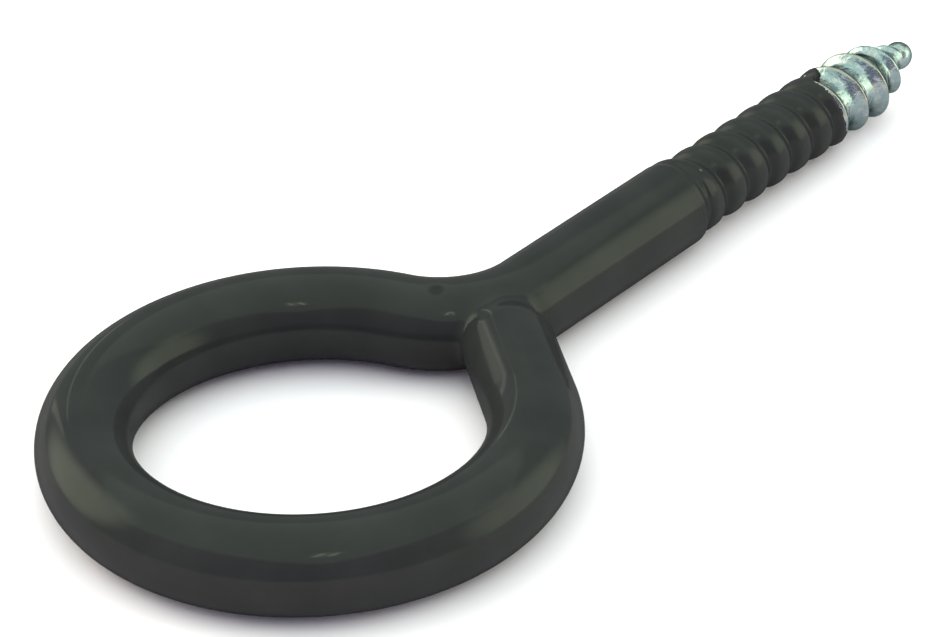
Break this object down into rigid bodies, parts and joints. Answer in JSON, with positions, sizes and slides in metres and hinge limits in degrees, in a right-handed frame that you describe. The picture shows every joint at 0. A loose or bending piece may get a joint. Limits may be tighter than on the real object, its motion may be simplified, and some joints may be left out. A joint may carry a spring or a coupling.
{
  "type": "screw eye",
  "caption": "Wire screw eye, dipped in dark vinyl: a closed ring on a short neck and shank, with a coarse wood thread that comes out bare and plated at a gimlet point.",
  "frame": {"origin": "centre of the eye, in the middle plane of the wire", "axes": "+X along the shank towards the gimlet point, +Z square to the plane of the ring, +Y across the ring"},
  "size_m": [0.1173, 0.0494, 0.0088],
  "materials": {
    "vinyl": "soft satin dip coat, dark charcoal; the thread past the dip line is bright zinc plate"
  },
  "bodies": {
    "root": {"screw_eye": "vinyl"}
  },
  "joints": []
}
